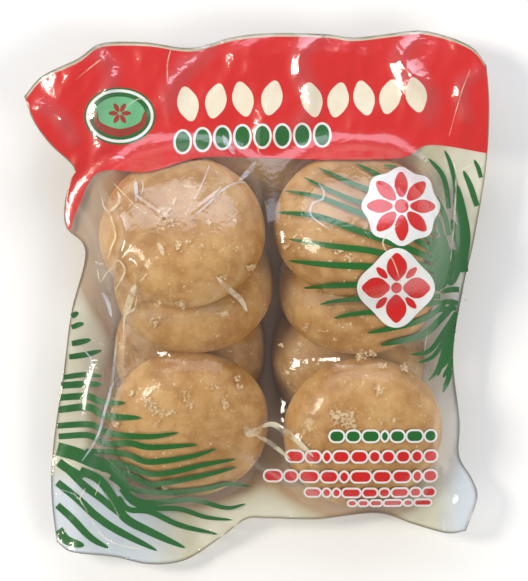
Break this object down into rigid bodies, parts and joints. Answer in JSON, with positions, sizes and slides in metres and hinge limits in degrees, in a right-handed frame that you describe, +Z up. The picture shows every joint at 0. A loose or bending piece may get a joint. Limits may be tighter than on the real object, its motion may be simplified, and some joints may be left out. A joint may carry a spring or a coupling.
{
  "type": "vacuum pack of palm sugar domes",
  "caption": "Clear vacuum-sealed pouch holding stacked half-dome lumps of palm sugar, with a wavy flat seal around it, lying face up.",
  "frame": {"origin": "centre of the pack's footprint, on the surface it rests on", "axes": "+X across the pack to its right, +Y to its printed top edge, +Z up through its thickness, out of the printed face"},
  "size_m": [0.172, 0.198, 0.0516],
  "materials": {
    "pouch_film": "clear film drawn tight over tan sugar, glossy, with creases",
    "palm_sugar": "waxy tan sugar with pale specks and bloom",
    "print_ink": "opaque print under glossy film"
  },
  "bodies": {
    "root": {"sealed_bag": "pouch_film"}
  },
  "joints": []
}
